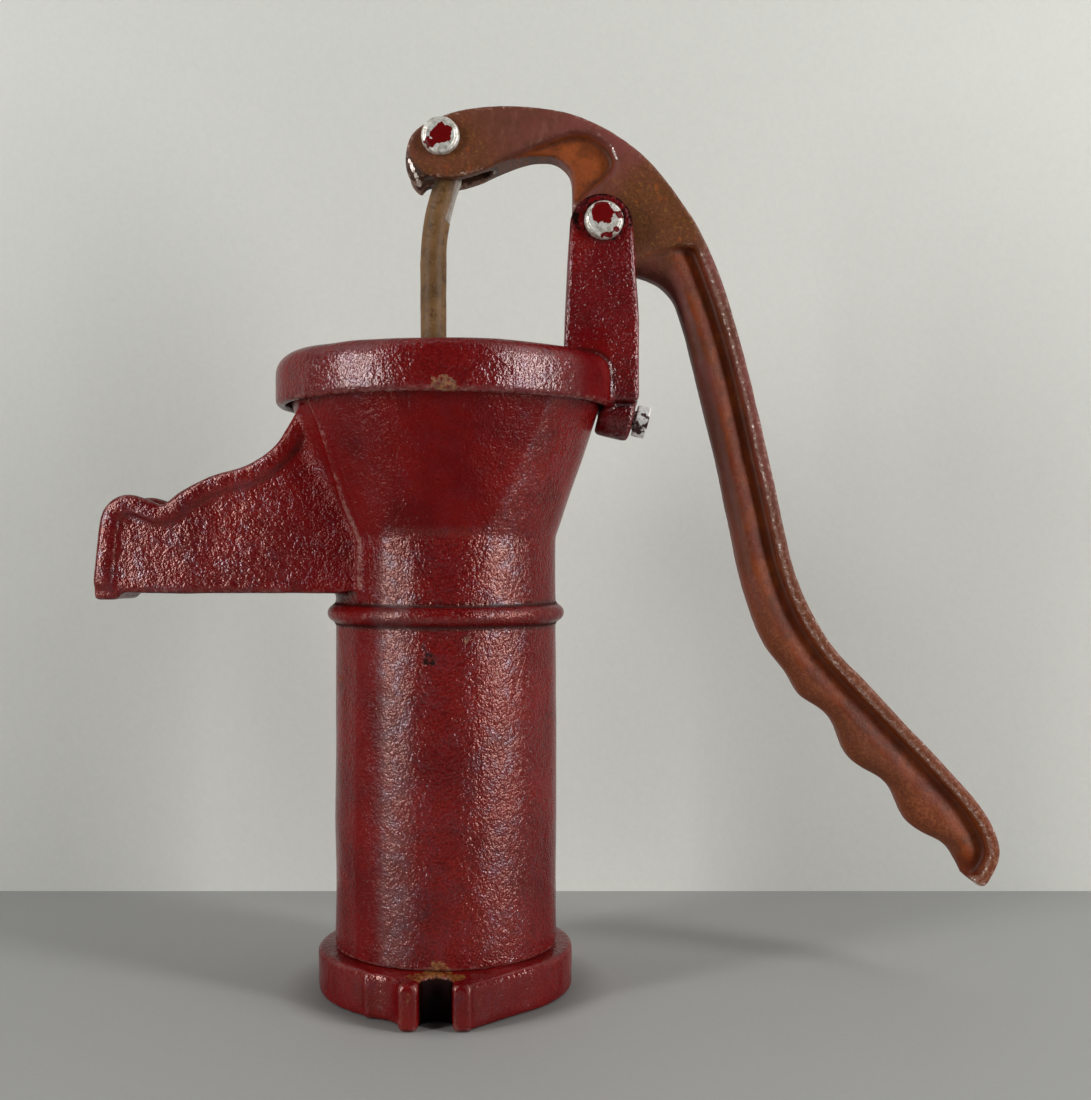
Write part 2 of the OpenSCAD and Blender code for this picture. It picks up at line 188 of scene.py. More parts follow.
def blots(points, spots):
    """Rises from 0 to 1 inside any of the spots, each (x, y, z, radius), with a ragged edge."""
    mask = np.zeros(len(points))
    edge = 0.8 * lattice_noise(points + 300, 1.7, 5) + 0.5 * lattice_noise(points + 300, 0.8, 6)
    for x, y, z, radius in spots:
        away = np.linalg.norm(points - np.array([x, y, z]), axis=1)
        mask = np.maximum(mask, smoothstep(radius + edge - away, -0.8, 0.8))
    return mask


def line_mask(points, start, end, width):
    """Rises from 0 to 1 close to a straight line drawn over the side view."""
    a, b = np.array(start, float), np.array(end, float)
    flat = points[:, [0, 2]]
    t = np.clip((flat - a) @ (b - a) / np.dot(b - a, b - a), 0, 1)
    away = np.linalg.norm(flat - a - t[:, None] * (b - a), axis=1)
    return smoothstep(away, width, width * 0.4)


def make_mesh(name, points, faces, smooth=True):
    """A mesh object from arrays: points in millimetres, faces all triangles or all quads."""
    mesh = bpy.data.meshes.new(name)
    corners = faces.shape[1]
    mesh.vertices.add(len(points))
    mesh.vertices.foreach_set("co", (points * MM).astype(np.float32).ravel())
    mesh.loops.add(faces.size)
    mesh.loops.foreach_set("vertex_index", faces.astype(np.int32).ravel())
    mesh.polygons.add(len(faces))
    mesh.polygons.foreach_set("loop_start", np.arange(0, faces.size, corners, dtype=np.int32))
    mesh.update(calc_edges=True)
    mesh.validate()
    mesh.polygons.foreach_set("use_smooth", np.full(len(mesh.polygons), smooth))
    piece = bpy.data.objects.new(name, mesh)
    bpy.context.scene.collection.objects.link(piece)
    return piece


def points_of(piece):
    """The mesh's points in millimetres."""
    points = np.zeros(len(piece.data.vertices) * 3, np.float32)
    piece.data.vertices.foreach_get("co", points)
    return points.reshape(-1, 3) / MM


def set_attribute(piece, name, values):
    """Stores a value for each point of the mesh, in place of any earlier values under that name."""
    attribute = piece.data.attributes.get(name) or piece.data.attributes.new(name, "FLOAT", "POINT")
    attribute.data.foreach_set("value", values.astype(np.float32))


def surface(name, field, lumps, keep_smooth=None, seed=1):
    """The field's surface as a mesh, with casting lumps given as a list of (size, height) in millimetres.

    A function given as keep_smooth scales the lumps. The mesh's "bend" attribute is above 0 on outer edges
    and below 0 in corners.
    """
    grid = vdb.FloatGrid()
    grid.copyFromArray(np.ascontiguousarray(field.d))
    points, quads = grid.convertToQuads(isovalue=0.0)
    points = (points + field.first) * field.step
    normals = field.normals(points)
    points = points - normals * field.at(points)[:, None]
    bend = field.at(points, blurred(field.d, 6)) / field.step
    height = np.zeros(len(points))
    for i, (size, amount) in enumerate(lumps):
        height += amount * lattice_noise(points + 500, size, seed + i)
    if keep_smooth is not None:
        height *= keep_smooth(points)
    points = points + normals * height[:, None]
    piece = make_mesh(name, points, quads[:, ::-1])
    set_attribute(piece, "bend", bend)
    return piece


# ---------- the shapes ----------

BORE_R = 38.1
BARREL_R = 46.0
BEAD_Z = 155.6
FLARE_START = 187.0
FLARE_SLOPE = 0.327
# The spout's flat side runs between these two places, seen from above.
SPOUT_ROOT = (-33.0, 32.0)
SPOUT_MOUTH = (-145.8, 14.0)
SPOUT_FLOOR = 164.0
# Where the spout's rim meets the cap, and how it leans there, seen from the side.
RIM_END = (-66.0, 224.5)
RIM_LEAN = (0.841, 0.541)
ROOT_END_X = -20.0
# The handle's rounded front, and the fork that the rod swings in.
NOSE = (0.0, 350.5)
NOSE_END_X = 3
FORK_LOW_Z = 318
# The cap's skirt reaches up to here, and its lugs stand behind here.
SKIRT_TOP = 262.0
LUG_START_X = 66.0


def soft_copy(node, step, passes, fill=1.0):
    """A CAD node as a field with its edges rounded; fill is how far its inner corners are filled."""
    field = Field(node, step)
    soft = blurred(field.d, passes)
    field.d = np.where(soft < field.d, field.d + (soft - field.d) * np.float32(fill), soft)
    return field


def flare_radius(z):
    """The barrel's outer radius at a height."""
    step = 0.3 * smoothstep(z, FLARE_START - 1, FLARE_START)
    return BARREL_R + step + np.maximum(z - FLARE_START, 0) * FLARE_SLOPE


def spout_side(x, y):
    """Distance outside the flat side of the spout."""
    dx, dy = SPOUT_MOUTH[0] - SPOUT_ROOT[0], SPOUT_MOUTH[1] - SPOUT_ROOT[1]
    length = math.hypot(dx, dy)
    return (x - SPOUT_ROOT[0]) * dy / length + (np.abs(y) - SPOUT_ROOT[1]) * -dx / length


def over_spout_rim(x, z):
    """Distance above the steep top edge of the spout, near the cap."""
    return (z - RIM_END[1]) * RIM_LEAN[1] - (x - RIM_END[0]) * RIM_LEAN[0]


def web_reach(z):
    """How far the web between spout and barrel spreads, at a height."""
    return 1.0 + 8.2 * smoothstep(z, FLARE_START, FLARE_TOP - 14)


def to_ridge(x, y, z):
    """Distance to the line where the spout's web meets the flare."""
    wall = np.sqrt(x**2 + y**2) - flare_radius(z)
    return np.sqrt((spout_side(x, y) - web_reach(z))**2 + wall**2)


def spout_web(x, y, z):
    """Fills the corner between the spout's sides and the flare."""
    side = spout_side(x, y)
    wall = np.sqrt(x**2 + y**2) - flare_radius(z)
    reach = web_reach(z)
    deep = 3.0
    web = smooth_min(side + 0 * z, wall, reach)
    for limit in (-side - deep, -wall - deep, wall - reach - deep, side - reach - deep,
                  SPOUT_FLOOR + 1 - z, z - FLARE_TOP + 14, x - ROOT_END_X, over_spout_rim(x, z)):
        web = np.maximum(web, limit)
    return web


def spout_ridge(x, y, z):
    """The raised line where the web meets the flare."""
    half_width = 0.85
    ridge = to_ridge(x, y, z) - half_width
    for limit in (SPOUT_FLOOR + 1 - z, z - FLARE_TOP + 13, x - ROOT_END_X, over_spout_rim(x, z)):
        ridge = np.maximum(ridge, limit)
    return ridge


def lip_line(x, y, z):
    """The fine upright line on the spout's sides, just behind its lip."""
    line_x, line_z, line_lean = -136.5, 165, 0.11
    middle_z, half_height, half_width = 180, 14, 0.7
    away = x - line_x - (z - line_z) * line_lean
    line = np.sqrt(away**2 + spout_side(x, y)**2) - half_width
    return np.maximum(line, np.abs(z - middle_z) - half_height)


def painted_joint(x, y, z):
    """Thick paint that closes the joint between the barrel and the base."""
    low, high, thick = 18.1, 26, 4
    radius = np.sqrt(x**2 + y**2)
    ring = np.maximum(radius - BARREL_R + 0.1, BARREL_R - thick - radius)
    return np.maximum(ring, np.maximum(low - z, z - high))


def barrel_field():
    """The barrel with the cast details that its CAD node leaves out."""
    field = soft_copy("barrel", 1.0, 2, 0.2)
    place = field.xyz()
    field.add(spout_web(*place))
    field.add(spout_ridge(*place), 0.8)
    field.add(lip_line(*place), 0.5)
    field.add(painted_joint(*place), 0.3)
    return field


def outline(values, first, step):
    """Points where a slice of a field changes sign."""
    found = []
    for axis in (0, 1):
        a = values[:-1, :] if axis == 0 else values[:, :-1]
        b = values[1:, :] if axis == 0 else values[:, 1:]
        i, j = np.nonzero((a < 0) != (b < 0))
        t = a[i, j] / (a[i, j] - b[i, j])
        found.append(np.stack([i + t * (axis == 0), j + t * (axis == 1)], 1))
    return (np.concatenate(found) + first) * step


def nearest(gx, gz, points):
    """Distance from each grid place to the nearest of the points."""
    best = np.full(gx.shape, 1e9, np.float32)
    for k in range(0, len(points), 60):
        part = points[k:k + 60].astype(np.float32)
        squared = (gx[..., None] - part[:, 0])**2 + (gz[..., None] - part[:, 1])**2
        best = np.minimum(best, squared.min(-1))
    return np.sqrt(best)


class HandleShape:
    """Half thickness of the handle casting over its side view.

    The shank has a thick rim along its outer edge, a thin valley beside it and a rounded bulb along its
    inner edge. Above it the casting is full thickness, with a sunk pocket behind the crotch.
    """

    face = HANDLE_HALF
    rim = 4.6
    valley = 6.4
    bulb = 8.9
    bulb_round = 6.5
    pocket_deep = 4.7
    pocket_low_z = 322
    shank_top_z = 335
    middle_y = 6.1
    face_y = 9.3

    def __init__(self, field):
        x, _, z = field.xyz()
        gx, gz = np.broadcast_arrays(x[:, 0, :], z[:, 0, :])
        inner_edge = self.read_outline(field, gx, gz)
        flank = smoothstep(self.rim_edge, self.rim - 0.5, self.rim + 1.3)
        self.panel = self.panel_mask(gx, gz) * flank
        from_valley = smoothstep(self.rim_edge, self.rim + 2, self.rim + 11)
        hollow = self.valley + (self.bulb - self.valley) * from_valley
        round_over = np.sqrt(np.clip(1 - (1 - np.clip(inner_edge / self.bulb_round, 0, 1))**2, 0.0, 1))
        hollow = hollow * (0.25 + 0.75 * round_over)
        sunk_depth = self.pocket_deep * smoothstep(self.read_pocket(field, gx, gz), -0.3, 3.2)
        self.half = self.face - self.panel * (self.face - hollow) - sunk_depth
        self.pocket = sunk_depth / self.pocket_deep

    def read_outline(self, field, gx, gz):
        """Sets the distances to the side view's outline and to its rim; returns that to its inner edge."""
        solid = field.side_slice(self.middle_y)
        edge = outline(solid, field.first[[0, 2]], field.step)
        self.inside = np.where(solid < 0, -1, 1) * nearest(gx, gz, edge)
        shank = edge[edge[:, 1] < self.shank_top_z]
        row = np.round(shank[:, 1] / field.step).astype(int)
        far = {k: shank[row == k, 0].max() for k in np.unique(row)}
        is_rim = np.array([p[0] > far[k] - 2.5 for p, k in zip(shank, row)])
        self.rim_edge = nearest(gx, gz, shank[is_rim])
        upper = edge[edge[:, 1] >= self.shank_top_z]
        return nearest(gx, gz, np.concatenate([shank[~is_rim], upper]))

    def read_pocket(self, field, gx, gz):
        """How far inside the CAD casting's pocket each place is; below 0 outside it."""
        solid = field.side_slice(self.middle_y)
        near_face = field.side_slice(self.face_y)
        sunk = outline(np.maximum(near_face, solid), field.first[[0, 2]], field.step)
        open_face = (near_face > 0) & (solid < 0)
        pocket = np.where(open_face, 1, -1) * nearest(gx, gz, sunk[sunk[:, 1] > self.pocket_low_z])
        pocket[gz < self.pocket_low_z] = -9
        return pocket

    def panel_mask(self, gx, gz):
        """1 over the shank, and 0 above its arched top and round the fulcrum."""
        arch_x, arch_z, arch_half, arch_drop = 97, 308, 14, 3
        top = arch_z - ((gx - arch_x) / arch_half)**2 * arch_drop
        soft = 2.2 + 2.6 * (1 - smoothstep(gx, 82, 100))
        from_fulcrum = np.hypot(gx - FULCRUM[0], gz - FULCRUM[2])
        return smoothstep(top - gz, 0, soft) * smoothstep(from_fulcrum, 14, 20)


def fork_slot(x, y):
    """The slot that the rod swings in, square to the pins and round at its end."""
    end_x, half_width = 14.0, 5.8
    straight = np.maximum(np.abs(y) - half_width, x - end_x)
    return np.minimum(straight, np.hypot(x - end_x, y) - half_width)


def handle_field():
    """The handle's field, and the shape of its faces."""
    field = Field("handle", 0.8, band=10)
    shape = HandleShape(field)
    slope = np.hypot(*np.gradient(shape.half, field.step))
    x, y, z = field.xyz()
    side = (np.abs(y) - shape.half[:, None, :]) / np.sqrt(1 + slope**2)[:, None, :]
    d = np.maximum(shape.inside[:, None, :], side)
    from_nose = np.hypot(x - NOSE[0], z - NOSE[1])
    nose_r, bevel_slope, bevel_length = 15.8, 1.8, 2.06
    bevel = (from_nose - nose_r - (shape.face - np.abs(y)) * bevel_slope) / bevel_length
    d = np.where((x < NOSE_END_X) & (z < NOSE[1] + 0.5), np.maximum(d, bevel), d)
    d = blurred(d.astype(np.float32), 2)
    d = np.maximum(d, np.where(z > FORK_LOW_Z, -fork_slot(x, y), -9))
    for centre, hole_r in ((FULCRUM, 4.82), (ROD_PIN, 4.8)):
        d = np.maximum(d, -(np.hypot(x - centre[0], z - centre[2]) - hole_r))
    field.d = np.ascontiguousarray(d, np.float32)
    return field, shape


def spread(field, values, points):
    """A side-view map read at scattered points."""
    q = points[:, [0, 2]] / field.step - field.first[[0, 2]]
    i = np.clip(np.round(q).astype(int), 0, np.array(values.shape) - 1)
    return values[i[:, 0], i[:, 1]]


# ---------- materials ----------

def linear(level):
    """A screen level, 0 to 255, as linear light."""
    share = level / 255
    return ((share + 0.055) / 1.055)**2.4 if level > 10 else share / 12.92


def srgb(r, g, b):
    """A screen colour as linear light, with full cover."""
    return (linear(r), linear(g), linear(b), 1.0)


class Finish:
    """One material, built with short calls. Sizes are millimetres; every factor runs from 0 to 1."""

    def __init__(self, name, seed=0.0):
        self.material = bpy.data.materials.new(name)
        self.material.use_nodes = True
        self.tree = self.material.node_tree
        self.tree.nodes.clear()
        self.shader = self.node("ShaderNodeBsdfPrincipled")
        self.out = self.node("ShaderNodeOutputMaterial")
        self.tree.links.new(self.shader.outputs[0], self.out.inputs[0])
        place = self.node("ShaderNodeTexCoord").outputs["Object"]
        shifted = self.node("ShaderNodeVectorMath", operation="ADD")
        self.tree.links.new(place, shifted.inputs[0])
        shifted.inputs[1].default_value = (seed, seed * 1.7, seed * 2.3)
        self.place = shifted.outputs[0]
        self.raw_place = place

    def node(self, kind, **settings):
        """A new node in the material."""
        n = self.tree.nodes.new(kind)
        for key, value in settings.items():
            setattr(n, key, value)
        return n

    def put(self, socket, value):
        """Links a socket to another one, or sets it to a fixed value."""
        if isinstance(value, bpy.types.NodeSocket):
            self.tree.links.new(value, socket)
        else:
            socket.default_value = value

    def math(self, operation, a, b=0.0):
        """One step of arithmetic."""
        n = self.node("ShaderNodeMath", operation=operation)
        self.put(n.inputs[0], a)
        self.put(n.inputs[1], b)
        return n.outputs[0]

    def times(self, a, b):
        return self.math("MULTIPLY", a, b)

    def plus(self, a, b):
        return self.math("ADD", a, b)

    def minus(self, a, b):
        return self.math("SUBTRACT", a, b)

    def most(self, a, b):
        return self.math("MAXIMUM", a, b)

    def noise(self, size, detail=2.0, rough=0.5, stretch=(1, 1, 1)):
        """Cloudy noise with lumps about size across, longer along an axis whose stretch is below 1."""
        n = self.node("ShaderNodeTexNoise")
        place = self.place
        if stretch != (1, 1, 1):
            scaled = self.node("ShaderNodeVectorMath", operation="MULTIPLY")
            self.put(scaled.inputs[0], place)
            scaled.inputs[1].default_value = stretch
            place = scaled.outputs[0]
        self.put(n.inputs["Vector"], place)
        n.inputs["Scale"].default_value = 1000 / size
        n.inputs["Detail"].default_value = detail
        n.inputs["Roughness"].default_value = rough
        return n.outputs["Fac"]

    def cells(self, size):
        """Distance to the nearest of scattered points that lie about size apart."""
        n = self.node("ShaderNodeTexVoronoi", feature="F1")
        self.put(n.inputs["Vector"], self.place)
        n.inputs["Scale"].default_value = 1000 / size
        return n.outputs["Distance"]

    def attribute(self, name):
        """A value stored on the mesh's points."""
        return self.node("ShaderNodeAttribute", attribute_name=name).outputs["Fac"]

    def groove(self, height):
        """Rises to 1 on a slightly wavy line round the piece, at a height in millimetres."""
        split = self.node("ShaderNodeSeparateXYZ")
        self.put(split.inputs[0], self.raw_place)
        wave = self.fade(self.noise(12, 3), -1.0 * MM, 1.0 * MM)
        away = self.plus(split.outputs["Z"], self.minus(wave, height * MM))
        return self.step(self.math("ABSOLUTE", away), 0.85 * MM, 0.35 * MM)

    def step(self, value, low, high):
        """Rises smoothly from 0 to 1 as the value goes from low to high; falls if high is below low."""
        n = self.node("ShaderNodeMapRange", interpolation_type="SMOOTHSTEP")
        self.put(n.inputs["Value"], value)
        n.inputs["From Min"].default_value = low
        n.inputs["From Max"].default_value = high
        return n.outputs[0]

    def line(self, value, low, high, to_low, to_high):
        """Runs straight from to_low to to_high as the value goes from low to high, and stays there."""
        n = self.node("ShaderNodeMapRange")
        self.put(n.inputs["Value"], value)
        for key, v in (("From Min", low), ("From Max", high), ("To Min", to_low), ("To Max", to_high)):
            n.inputs[key].default_value = v
        return n.outputs[0]

    def fade(self, mask, at_none, at_full):
        """Runs from at_none where the mask is 0 to at_full where it is 1."""
        return self.line(mask, 0, 1, at_none, at_full)

    def sway(self, noise, low, high):
        """Noise, which mostly stays between 0.3 and 0.7, stretched to run from low to high."""
        return self.line(noise, 0.3, 0.7, low, high)

    def coat(self, colour, mask, strength, cover):
        """The colour with a cover over it where the mask is 1, as strong as strength says."""
        return self.mix(self.times(mask, strength), colour, cover)

    def mix(self, factor, a, b):
        """Colour a where the factor is 0, and b where it is 1."""
        n = self.node("ShaderNodeMix", data_type="RGBA")
        self.put(n.inputs["Factor"], factor)
        self.put(n.inputs[6], a)
        self.put(n.inputs[7], b)
        return n.outputs[2]

    def blend(self, factor, a, b):
        """Number a where the factor is 0, and b where it is 1."""
        n = self.node("ShaderNodeMix", data_type="FLOAT")
        self.put(n.inputs["Factor"], factor)
        self.put(n.inputs[2], a)
        self.put(n.inputs[3], b)
        return n.outputs[0]

    def bump(self, height, depth, below=None):
        """Height runs 0 to 1 and stands for depth millimetres."""
        n = self.node("ShaderNodeBump")
        n.inputs["Strength"].default_value = 1.0
        n.inputs["Distance"].default_value = depth * MM
        self.put(n.inputs["Height"], height)
        if below is not None:
            self.put(n.inputs["Normal"], below)
        return n.outputs[0]

    def finish(self, colour, rough, metal=0.0, normal=None, specular=0.5, tint=(1, 1, 1, 1)):
        """Fills in the shader and returns the material."""
        self.put(self.shader.inputs["Base Color"], colour)
        self.put(self.shader.inputs["Roughness"], rough)
        self.put(self.shader.inputs["Metallic"], metal)
        self.put(self.shader.inputs["Specular IOR Level"], specular)
        self.put(self.shader.inputs["Specular Tint"], tint)
        if normal is not None:
            self.put(self.shader.inputs["Normal"], normal)
        return self.material


def enamel_paint(f, height, pebble):
    """Red paint: painted pink highlights on the pebbles' tops, painted shade in their pits and in corners, worn on
    outer edges.
    """
    blotch = f.noise(11, 4, 0.6)
    colour = f.mix(f.step(f.noise(38, 3, 0.55), 0.35, 0.68), srgb(92, 5, 9), srgb(112, 13, 12))
    colour = f.coat(colour, f.step(blotch, 0.5, 0.72), 0.4, srgb(66, 5, 9))
    # How strongly the painted highlights and the painted pit shade show: less where the paint is dull.
    speckle = f.fade(f.attribute("dull"), pebble, 0.35 * pebble)
    # Painted highlights: pink glints on the pebbles' tops.
    tops = f.times(f.step(height, 0.64, 0.76), f.times(speckle, 0.26))
    colour = f.mix(tops, colour, srgb(146, 62, 56))
    # Painted shade: near-black red in the pebbles' pits.
    pits = f.times(f.step(height, 0.57, 0.45), f.times(speckle, 0.42))
    colour = f.mix(pits, colour, srgb(50, 2, 4))
    bend = f.attribute("bend")
    # Painted shade: dark red-brown in inner corners and creases, where bend is below 0, broken up by the blotches.
    hollow = f.step(f.plus(bend, f.fade(blotch, -0.14, 0.14)), -0.05, -0.34)
    colour = f.coat(colour, hollow, 0.7, srgb(46, 13, 10))
    worn = f.step(f.plus(bend, f.sway(f.noise(3.2, 4, 0.65), -0.25, 0.25)), 0.5, 0.8)
    return f.coat(colour, worn, 0.4, srgb(150, 100, 92))


def rust_mask(f, ragged):
    """Where the paint is off: scattered specks, and the chips stored on the mesh."""
    scatter = f.step(f.noise(23, 5, 0.66), 0.72, 0.78)
    chipped = f.step(f.plus(f.attribute("rust"), ragged), 0.45, 0.8)
    return f.most(scatter, f.times(chipped, 0.85))


def stain_and_shade_mask(f, ragged, crevices):
    """Where stains and painted shade lie: the values stored on the mesh, which hold real stains and painted shade
    in recesses, and painted shade in the grooves at the crevices' heights.
    """
    stain_and_shade = f.step(f.plus(f.attribute("stain_and_shade"), f.times(ragged, 0.7)), 0.35, 0.8)
    # Painted shade: dark lines in the grooves that run round the casting at the crevices' heights.
    for crevice in crevices:
        filled = f.times(f.groove(crevice), f.attribute("outer"))
        stain_and_shade = f.most(stain_and_shade, f.times(filled, 0.5))
    return stain_and_shade


def pebbled(f, height, pebble):
    """The casting's grain as bumps, from broad to fine."""
    rough_cast = f.attribute("pebble")
    normal = f.bump(f.noise(8, 2), 0.5)
    normal = f.bump(f.times(f.noise(2.0, 2, 0.5), rough_cast), 0.30 * pebble, normal)
    return f.bump(f.times(height, rough_cast), 0.28 * pebble, normal)


def enamel_shine(f, stain_and_shade):
    """How strongly the enamel reflects: less where it is dull, stained or under painted shade, and less at a
    glancing view.
    """
    shine = f.fade(f.attribute("dull"), 0.85, 0.24)
    shine = f.times(shine, f.fade(stain_and_shade, 1.0, 0.25))
    glancing = f.node("ShaderNodeLayerWeight").outputs["Facing"]
    return f.times(shine, f.fade(f.step(glancing, 0.2, 0.65), 1.0, 0.1))


def red_enamel(name, seed, pebble, warm_shine, crevices=()):
    """Dark red enamel over a pebbled casting, chipped to rust, stained, darkened with painted shade and scuffed in
    places.

    Crevices are heights in millimetres where painted shade darkens a groove that runs round the casting.
    """
    f = Finish(name, seed)
    fine = f.noise(1.0, 3, 0.62)
    height = f.plus(f.times(f.minus(1.0, f.cells(0.85)), 0.5), f.times(fine, 0.6))
    colour = enamel_paint(f, height, pebble)
    ragged = f.sway(f.noise(2.2, 5, 0.75), -0.5, 0.5)
    rust = rust_mask(f, ragged)
    rust_colour = f.mix(f.step(f.noise(1.7, 4, 0.7), 0.35, 0.62), srgb(66, 34, 16), srgb(140, 92, 44))
    colour = f.mix(rust, colour, rust_colour)
    # Near black over real stains and the darker ring round the cap's pin, and as painted shade in grooves, slots
    # and along the cap's lug tops.
    stain_and_shade = stain_and_shade_mask(f, ragged, crevices)
    colour = f.mix(stain_and_shade, colour, srgb(18, 3, 3))
    # Painted reflection: a grey sheen over a streak left of the barrel's middle.
    painted_sheen = f.times(f.attribute("painted_sheen"), f.line(f.noise(7, 4, 0.65), 0.35, 0.65, 0.2, 1.0))
    colour = f.coat(colour, painted_sheen, 0.5, srgb(104, 76, 76))
    scuffed = f.step(f.plus(f.attribute("scuffed"), ragged), 0.45, 1.1)
    colour = f.coat(colour, scuffed, 0.6, srgb(146, 104, 96))
    rough = f.blend(f.most(rust, stain_and_shade), f.sway(fine, 0.12, 0.22), 0.8)
    cool_shine = (0.92, 0.78, 0.85, 1.0)
    tint = f.mix(f.step(f.noise(6, 3, 0.6), 0.36, 0.54), cool_shine, warm_shine)
    return f.finish(colour, rough, 0.0, pebbled(f, height, pebble), enamel_shine(f, stain_and_shade), tint)


def handle_face(f, broad, blotch, fine):
    """The handle's faces: mauve brown, olive with gold and rust round the pins, warmer towards the grip."""
    streak = f.noise(3.5, 3, 0.6, (1, 1, 0.35))
    face = f.mix(f.step(broad, 0.38, 0.64), srgb(94, 50, 36), srgb(112, 56, 50))
    face = f.coat(face, f.step(blotch, 0.5, 0.72), 0.7, srgb(80, 44, 20))
    face = f.coat(face, f.step(streak, 0.5, 0.75), 0.3, srgb(134, 88, 74))
    near_pins = f.attribute("olive")
    olive = f.times(near_pins, f.sway(blotch, 0.6, 1.0))
    face = f.mix(olive, face, f.mix(f.step(fine, 0.4, 0.66), srgb(82, 46, 12), srgb(108, 58, 20)))
    gold = f.times(near_pins, f.step(f.noise(1.6, 4, 0.7), 0.56, 0.66))
    face = f.coat(face, gold, 0.5, srgb(146, 100, 40))
    fresh_rust = f.times(near_pins, f.step(f.noise(6, 5, 0.7), 0.58, 0.66))
    face = f.coat(face, fresh_rust, 0.55, srgb(146, 66, 18))
    warm = f.times(f.attribute("warm"), f.sway(broad, 0.5, 0.9))
    return f.mix(warm, face, f.mix(f.step(fine, 0.4, 0.66), srgb(98, 44, 12), srgb(132, 70, 32)))


def handle_hollows(f, fine):
    """Orange rust, paler in the pocket behind the crotch."""
    orange = f.mix(f.step(f.noise(14, 4, 0.6), 0.35, 0.65), srgb(98, 31, 1), srgb(124, 54, 10))
    orange = f.coat(orange, f.attribute("pocket"), 0.45, srgb(160, 84, 38))
    orange = f.coat(orange, f.step(f.noise(9, 5, 0.7), 0.46, 0.62), 0.6, srgb(78, 36, 8))
    return f.coat(orange, f.step(fine, 0.45, 0.7), 0.4, srgb(74, 34, 14))


def rusty_handle(name):
    """Old handle casting: brown on its faces, orange in its hollows, bright where it is rubbed."""
    f = Finish(name, 3.0)
    bend = f.attribute("bend")
    broad = f.noise(30, 4, 0.6)
    blotch = f.noise(8, 5, 0.65)
    fine = f.noise(1.1, 4, 0.7)
    in_hollow = f.step(f.plus(f.attribute("sunk"), f.sway(blotch, -0.18, 0.18)), 0.4, 0.75)
    colour = f.mix(in_hollow, handle_face(f, broad, blotch, fine), handle_hollows(f, fine))
    colour = f.coat(colour, f.step(bend, -0.12, -0.45), 0.6, srgb(62, 22, 3))
    # Painted shade: dark brown on the nose's bevel and inside the fork.
    colour = f.mix(f.attribute("stain_and_shade"), colour, srgb(34, 24, 18))
    rubbed = f.step(f.plus(bend, f.sway(f.noise(2.2, 4, 0.7), -0.3, 0.3)), 0.42, 0.72)
    colour = f.coat(colour, rubbed, 0.45, srgb(158, 122, 106))
    specks = f.times(rubbed, f.noise(1.8, 3, 0.7))
    scraped = f.times(f.attribute("scraped"), f.sway(f.noise(1.6, 3, 0.7), 0.4, 1.0))
    bright = f.step(f.most(specks, scraped), 0.52, 0.64)
    colour = f.mix(bright, colour, srgb(222, 206, 196))
    rough = f.blend(bright, f.sway(fine, 0.42, 0.66), 0.25)
    normal = f.bump(f.noise(5, 4), 0.30)
    normal = f.bump(f.plus(fine, f.times(f.cells(1.3), -0.4)), 0.14, normal)
    return f.finish(colour, rough, f.times(bright, 0.5), normal, 0.26)


def rod_rust(name):
    """Olive-brown rusted bar, polished in a streak where it rubs."""
    f = Finish(name, 5.0)
    fine = f.noise(1.2, 4, 0.7)
    colour = f.mix(f.step(f.noise(12, 4, 0.6), 0.35, 0.65), srgb(94, 66, 34), srgb(116, 84, 50))
    colour = f.coat(colour, f.step(f.noise(3.4, 4, 0.7), 0.5, 0.7), 0.7, srgb(62, 38, 16))
    colour = f.coat(colour, f.step(fine, 0.55, 0.72), 0.5, srgb(150, 120, 92))
    shine = f.times(f.attribute("shine"), f.step(f.noise(5, 4, 0.7), 0.36, 0.52))
    colour = f.coat(colour, f.attribute("shine"), 0.6, srgb(62, 46, 36))
    colour = f.coat(colour, shine, 0.7, srgb(196, 190, 182))
    rough = f.blend(shine, f.sway(fine, 0.4, 0.62), 0.22)
    normal = f.bump(f.plus(fine, f.noise(3, 3)), 0.16)
    return f.finish(colour, rough, f.times(shine, 0.6), normal, 0.25)


def pin_metal(name, seed):
    """Bright steel pin with what is left of its red paint."""
    f = Finish(name, seed)
    paint = f.attribute("paint")
    bend = f.attribute("bend")
    steel = f.mix(f.step(f.noise(2.2, 4, 0.65), 0.36, 0.62), srgb(176, 170, 156), srgb(232, 229, 222))
    steel = f.coat(steel, f.step(f.noise(0.9, 3, 0.7), 0.58, 0.7), 0.5, srgb(84, 74, 64))
    hollow = f.step(bend, -0.2, -0.5)
    steel = f.coat(steel, hollow, 0.8, srgb(52, 22, 18))
    edge = f.step(f.plus(paint, f.sway(f.noise(1.3, 4, 0.7), -0.2, 0.2)), 0.42, 0.5)
    colour = f.mix(edge, steel, f.mix(f.noise(3, 2), srgb(84, 2, 4), srgb(106, 5, 6)))
    rough = f.blend(edge, f.sway(f.noise(1.5, 3), 0.36, 0.52), 0.34)
    normal = f.bump(f.plus(f.times(edge, 0.8), f.noise(1.6, 4, 0.6)), 0.12)
    return f.finish(colour, rough, f.fade(edge, 0.6, 0.0), normal, f.fade(edge, 0.5, 0.2))


